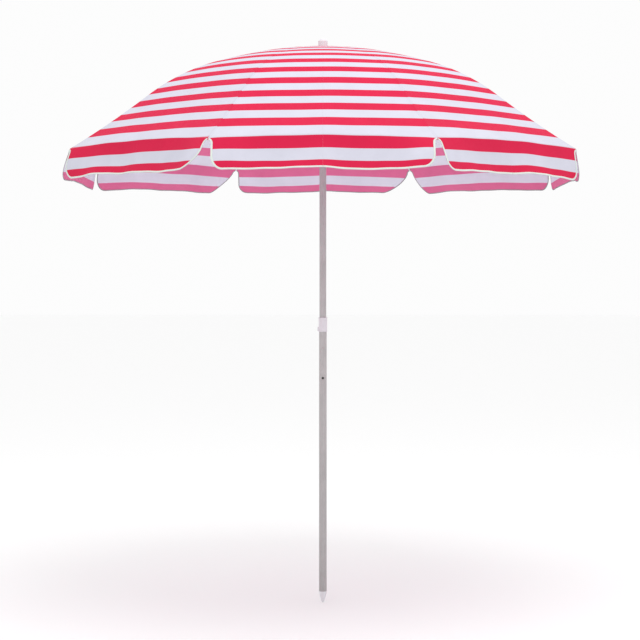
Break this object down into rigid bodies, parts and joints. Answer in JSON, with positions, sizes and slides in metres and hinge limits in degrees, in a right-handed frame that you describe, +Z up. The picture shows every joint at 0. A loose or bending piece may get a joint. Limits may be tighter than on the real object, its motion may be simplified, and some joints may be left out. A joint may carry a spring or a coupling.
{
  "type": "beach umbrella",
  "caption": "Beach umbrella with a striped octagonal canopy and hanging valance on folding ribs, a telescoping two-part pole with snap button, collar and ground spike.",
  "frame": {"origin": "the point of the ground spike, on the pole's axis", "axes": "+Z up along the pole; -Y is the front, where a gore's middle, the snap button and the spare height hole face"},
  "size_m": [1.8222, 1.8222, 2.073],
  "materials": {
    "white_plastic": "satin",
    "pole_steel": "satin",
    "rib_steel": "satin",
    "spring_steel": "satin",
    "canopy_cloth": "matte"
  },
  "bodies": {
    "pole_base": {"ground_spike": "white_plastic", "lower_pole": "pole_steel", "pole_collar": "white_plastic"},
    "mast": {"upper_pole": "pole_steel", "finial_cap": "white_plastic", "crown_hub": "white_plastic", "crown_ring": "spring_steel", "snap_spring": "spring_steel"},
    "snap_button": {"snap_button": "spring_steel"},
    "runner": {"runner_hub": "white_plastic", "runner_ring": "spring_steel"},
    "runner_catch": {"runner_catch": "spring_steel"},
    "rib_1": {"rib_1": "rib_steel", "rib_tip_1": "white_plastic", "rib_bracket_1": "spring_steel"},
    "stretcher_1": {"stretcher_1": "rib_steel"},
    "rib_2": {"rib_2": "rib_steel", "rib_tip_2": "white_plastic", "rib_bracket_2": "spring_steel"},
    "stretcher_2": {"stretcher_2": "rib_steel"},
    "rib_3": {"rib_3": "rib_steel", "rib_tip_3": "white_plastic", "rib_bracket_3": "spring_steel"},
    "stretcher_3": {"stretcher_3": "rib_steel"},
    "rib_4": {"rib_4": "rib_steel", "rib_tip_4": "white_plastic", "rib_bracket_4": "spring_steel"},
    "stretcher_4": {"stretcher_4": "rib_steel"},
    "rib_5": {"rib_5": "rib_steel", "rib_tip_5": "white_plastic", "rib_bracket_5": "spring_steel"},
    "stretcher_5": {"stretcher_5": "rib_steel"},
    "rib_6": {"rib_6": "rib_steel", "rib_tip_6": "white_plastic", "rib_bracket_6": "spring_steel"},
    "stretcher_6": {"stretcher_6": "rib_steel"},
    "rib_7": {"rib_7": "rib_steel", "rib_tip_7": "white_plastic", "rib_bracket_7": "spring_steel"},
    "stretcher_7": {"stretcher_7": "rib_steel"},
    "rib_8": {"rib_8": "rib_steel", "rib_tip_8": "white_plastic", "rib_bracket_8": "spring_steel"},
    "stretcher_8": {"stretcher_8": "rib_steel"},
    "canopy_1_left": {"canopy_1_left": "canopy_cloth"},
    "canopy_1_right": {"canopy_1_right": "canopy_cloth"},
    "canopy_2_left": {"canopy_2_left": "canopy_cloth"},
    "canopy_2_right": {"canopy_2_right": "canopy_cloth"},
    "canopy_3_left": {"canopy_3_left": "canopy_cloth"},
    "canopy_3_right": {"canopy_3_right": "canopy_cloth"},
    "canopy_4_left": {"canopy_4_left": "canopy_cloth"},
    "canopy_4_right": {"canopy_4_right": "canopy_cloth"},
    "canopy_5_left": {"canopy_5_left": "canopy_cloth"},
    "canopy_5_right": {"canopy_5_right": "canopy_cloth"},
    "canopy_6_left": {"canopy_6_left": "canopy_cloth"},
    "canopy_6_right": {"canopy_6_right": "canopy_cloth"},
    "canopy_7_left": {"canopy_7_left": "canopy_cloth"},
    "canopy_7_right": {"canopy_7_right": "canopy_cloth"},
    "canopy_8_left": {"canopy_8_left": "canopy_cloth"},
    "canopy_8_right": {"canopy_8_right": "canopy_cloth"}
  },
  "joints": [
    {"name": "mast_height", "type": "slide", "parent": "pole_base", "child": "mast", "axis": [0, 0, 1], "range_m": [-0.107, 0], "deforming": ["snap_button", "snap_spring"]},
    {"name": "snap_button_press", "type": "slide", "parent": "mast", "child": "snap_button", "axis": [0, 1, 0], "range_m": [0, 0.0042], "stiffness_N_per_m": 1500, "deforming": ["snap_spring"]},
    {"name": "runner_slide", "type": "slide", "parent": "mast", "child": "runner", "axis": [0, 0, -1], "range_m": [0, 0.402], "deforming": ["runner_catch", "canopy_1_left", "canopy_1_right", "canopy_2_left", "canopy_2_right", "canopy_3_left", "canopy_3_right", "canopy_4_left", "canopy_4_right", "canopy_5_left", "canopy_5_right", "canopy_6_left", "canopy_6_right", "canopy_7_left", "canopy_7_right", "canopy_8_left", "canopy_8_right"]},
    {"name": "catch_press", "type": "slide", "parent": "mast", "child": "runner_catch", "axis": [0, 1, 0], "range_m": [0, 0.0052], "stiffness_N_per_m": 800},
    {"name": "rib_fold_1", "type": "hinge", "parent": "mast", "child": "rib_1", "pos_m": [-0.00765, -0.01848, 2.026], "axis": [0.9239, -0.3827, 0], "range_deg": [0, 63]},
    {"name": "stretcher_swing_1", "type": "hinge", "parent": "runner", "child": "stretcher_1", "pos_m": [-0.00765, -0.01848, 1.7], "axis": [-0.9239, 0.3827, 0], "range_deg": [0, 35.83]},
    {"name": "rib_fold_2", "type": "hinge", "parent": "mast", "child": "rib_2", "pos_m": [0.00765, -0.01848, 2.026], "axis": [0.9239, 0.3827, 0], "range_deg": [0, 63]},
    {"name": "stretcher_swing_2", "type": "hinge", "parent": "runner", "child": "stretcher_2", "pos_m": [0.00765, -0.01848, 1.7], "axis": [-0.9239, -0.3827, 0], "range_deg": [0, 35.83]},
    {"name": "rib_fold_3", "type": "hinge", "parent": "mast", "child": "rib_3", "pos_m": [0.01848, -0.00765, 2.026], "axis": [0.3827, 0.9239, 0], "range_deg": [0, 63]},
    {"name": "stretcher_swing_3", "type": "hinge", "parent": "runner", "child": "stretcher_3", "pos_m": [0.01848, -0.00765, 1.7], "axis": [-0.3827, -0.9239, 0], "range_deg": [0, 35.83]},
    {"name": "rib_fold_4", "type": "hinge", "parent": "mast", "child": "rib_4", "pos_m": [0.01848, 0.00765, 2.026], "axis": [-0.3827, 0.9239, 0], "range_deg": [0, 63]},
    {"name": "stretcher_swing_4", "type": "hinge", "parent": "runner", "child": "stretcher_4", "pos_m": [0.01848, 0.00765, 1.7], "axis": [0.3827, -0.9239, 0], "range_deg": [0, 35.83]},
    {"name": "rib_fold_5", "type": "hinge", "parent": "mast", "child": "rib_5", "pos_m": [0.00765, 0.01848, 2.026], "axis": [-0.9239, 0.3827, 0], "range_deg": [0, 63]},
    {"name": "stretcher_swing_5", "type": "hinge", "parent": "runner", "child": "stretcher_5", "pos_m": [0.00765, 0.01848, 1.7], "axis": [0.9239, -0.3827, 0], "range_deg": [0, 35.83]},
    {"name": "rib_fold_6", "type": "hinge", "parent": "mast", "child": "rib_6", "pos_m": [-0.00765, 0.01848, 2.026], "axis": [-0.9239, -0.3827, 0], "range_deg": [0, 63]},
    {"name": "stretcher_swing_6", "type": "hinge", "parent": "runner", "child": "stretcher_6", "pos_m": [-0.00765, 0.01848, 1.7], "axis": [0.9239, 0.3827, 0], "range_deg": [0, 35.83]},
    {"name": "rib_fold_7", "type": "hinge", "parent": "mast", "child": "rib_7", "pos_m": [-0.01848, 0.00765, 2.026], "axis": [-0.3827, -0.9239, 0], "range_deg": [0, 63]},
    {"name": "stretcher_swing_7", "type": "hinge", "parent": "runner", "child": "stretcher_7", "pos_m": [-0.01848, 0.00765, 1.7], "axis": [0.3827, 0.9239, 0], "range_deg": [0, 35.83]},
    {"name": "rib_fold_8", "type": "hinge", "parent": "mast", "child": "rib_8", "pos_m": [-0.01848, -0.00765, 2.026], "axis": [0.3827, -0.9239, 0], "range_deg": [0, 63]},
    {"name": "stretcher_swing_8", "type": "hinge", "parent": "runner", "child": "stretcher_8", "pos_m": [-0.01848, -0.00765, 1.7], "axis": [-0.3827, 0.9239, 0], "range_deg": [0, 35.83]},
    {"name": "canopy_fold_1_left", "type": "hinge", "parent": "rib_1", "child": "canopy_1_left", "pos_m": [0.06984, 0.87071, 1.50951], "axis": [0.0751, 0.8623, -0.5008], "range_deg": [0, 23.47]},
    {"name": "canopy_fold_1_right", "type": "hinge", "parent": "rib_2", "child": "canopy_1_right", "pos_m": [-0.06984, 0.87071, 1.50951], "axis": [0.0751, -0.8623, 0.5008], "range_deg": [0, 23.47]},
    {"name": "canopy_fold_2_left", "type": "hinge", "parent": "rib_2", "child": "canopy_2_left", "pos_m": [-0.5663, 0.66507, 1.50951], "axis": [-0.5566, 0.6628, -0.5008], "range_deg": [0, 23.47]},
    {"name": "canopy_fold_2_right", "type": "hinge", "parent": "rib_3", "child": "canopy_2_right", "pos_m": [-0.66507, 0.5663, 1.50951], "axis": [0.6628, -0.5566, 0.5008], "range_deg": [0, 23.47]},
    {"name": "canopy_fold_3_left", "type": "hinge", "parent": "rib_3", "child": "canopy_3_left", "pos_m": [-0.87071, 0.06984, 1.50951], "axis": [-0.8623, 0.0751, -0.5008], "range_deg": [0, 23.47]},
    {"name": "canopy_fold_3_right", "type": "hinge", "parent": "rib_4", "child": "canopy_3_right", "pos_m": [-0.87071, -0.06984, 1.50951], "axis": [0.8623, 0.0751, 0.5008], "range_deg": [0, 23.47]},
    {"name": "canopy_fold_4_left", "type": "hinge", "parent": "rib_4", "child": "canopy_4_left", "pos_m": [-0.66507, -0.5663, 1.50951], "axis": [-0.6628, -0.5566, -0.5008], "range_deg": [0, 23.47]},
    {"name": "canopy_fold_4_right", "type": "hinge", "parent": "rib_5", "child": "canopy_4_right", "pos_m": [-0.5663, -0.66507, 1.50951], "axis": [0.5566, 0.6628, 0.5008], "range_deg": [0, 23.47]},
    {"name": "canopy_fold_5_left", "type": "hinge", "parent": "rib_5", "child": "canopy_5_left", "pos_m": [-0.06984, -0.87071, 1.50951], "axis": [-0.0751, -0.8623, -0.5008], "range_deg": [0, 23.47]},
    {"name": "canopy_fold_5_right", "type": "hinge", "parent": "rib_6", "child": "canopy_5_right", "pos_m": [0.06984, -0.87071, 1.50951], "axis": [-0.0751, 0.8623, 0.5008], "range_deg": [0, 23.47]},
    {"name": "canopy_fold_6_left", "type": "hinge", "parent": "rib_6", "child": "canopy_6_left", "pos_m": [0.5663, -0.66507, 1.50951], "axis": [0.5566, -0.6628, -0.5008], "range_deg": [0, 23.47]},
    {"name": "canopy_fold_6_right", "type": "hinge", "parent": "rib_7", "child": "canopy_6_right", "pos_m": [0.66507, -0.5663, 1.50951], "axis": [-0.6628, 0.5566, 0.5008], "range_deg": [0, 23.47]},
    {"name": "canopy_fold_7_left", "type": "hinge", "parent": "rib_7", "child": "canopy_7_left", "pos_m": [0.87071, -0.06984, 1.50951], "axis": [0.8623, -0.0751, -0.5008], "range_deg": [0, 23.47]},
    {"name": "canopy_fold_7_right", "type": "hinge", "parent": "rib_8", "child": "canopy_7_right", "pos_m": [0.87071, 0.06984, 1.50951], "axis": [-0.8623, -0.0751, 0.5008], "range_deg": [0, 23.47]},
    {"name": "canopy_fold_8_left", "type": "hinge", "parent": "rib_8", "child": "canopy_8_left", "pos_m": [0.66507, 0.5663, 1.50951], "axis": [0.6628, 0.5566, -0.5008], "range_deg": [0, 23.47]},
    {"name": "canopy_fold_8_right", "type": "hinge", "parent": "rib_1", "child": "canopy_8_right", "pos_m": [0.5663, 0.66507, 1.50951], "axis": [-0.5566, -0.6628, 0.5008], "range_deg": [0, 23.47]}
  ],
  "couplings": [
    {"joint": "rib_fold_1", "follows": "runner_slide", "rad_per_m": 2.7135},
    {"joint": "stretcher_swing_1", "follows": "runner_slide", "rad_per_m": 1.5337},
    {"joint": "rib_fold_2", "follows": "runner_slide", "rad_per_m": 2.7135},
    {"joint": "stretcher_swing_2", "follows": "runner_slide", "rad_per_m": 1.5337},
    {"joint": "rib_fold_3", "follows": "runner_slide", "rad_per_m": 2.7135},
    {"joint": "stretcher_swing_3", "follows": "runner_slide", "rad_per_m": 1.5337},
    {"joint": "rib_fold_4", "follows": "runner_slide", "rad_per_m": 2.7135},
    {"joint": "stretcher_swing_4", "follows": "runner_slide", "rad_per_m": 1.5337},
    {"joint": "rib_fold_5", "follows": "runner_slide", "rad_per_m": 2.7135},
    {"joint": "stretcher_swing_5", "follows": "runner_slide", "rad_per_m": 1.5337},
    {"joint": "rib_fold_6", "follows": "runner_slide", "rad_per_m": 2.7135},
    {"joint": "stretcher_swing_6", "follows": "runner_slide", "rad_per_m": 1.5337},
    {"joint": "rib_fold_7", "follows": "runner_slide", "rad_per_m": 2.7135},
    {"joint": "stretcher_swing_7", "follows": "runner_slide", "rad_per_m": 1.5337},
    {"joint": "rib_fold_8", "follows": "runner_slide", "rad_per_m": 2.7135},
    {"joint": "stretcher_swing_8", "follows": "runner_slide", "rad_per_m": 1.5337},
    {"joint": "canopy_fold_1_left", "follows": "runner_slide", "rad_per_m": 0.99715},
    {"joint": "canopy_fold_1_right", "follows": "runner_slide", "rad_per_m": 0.99715},
    {"joint": "canopy_fold_2_left", "follows": "runner_slide", "rad_per_m": 0.99715},
    {"joint": "canopy_fold_2_right", "follows": "runner_slide", "rad_per_m": 0.99715},
    {"joint": "canopy_fold_3_left", "follows": "runner_slide", "rad_per_m": 0.99715},
    {"joint": "canopy_fold_3_right", "follows": "runner_slide", "rad_per_m": 0.99715},
    {"joint": "canopy_fold_4_left", "follows": "runner_slide", "rad_per_m": 0.99715},
    {"joint": "canopy_fold_4_right", "follows": "runner_slide", "rad_per_m": 0.99715},
    {"joint": "canopy_fold_5_left", "follows": "runner_slide", "rad_per_m": 0.99715},
    {"joint": "canopy_fold_5_right", "follows": "runner_slide", "rad_per_m": 0.99715},
    {"joint": "canopy_fold_6_left", "follows": "runner_slide", "rad_per_m": 0.99715},
    {"joint": "canopy_fold_6_right", "follows": "runner_slide", "rad_per_m": 0.99715},
    {"joint": "canopy_fold_7_left", "follows": "runner_slide", "rad_per_m": 0.99715},
    {"joint": "canopy_fold_7_right", "follows": "runner_slide", "rad_per_m": 0.99715},
    {"joint": "canopy_fold_8_left", "follows": "runner_slide", "rad_per_m": 0.99715},
    {"joint": "canopy_fold_8_right", "follows": "runner_slide", "rad_per_m": 0.99715}
  ]
}
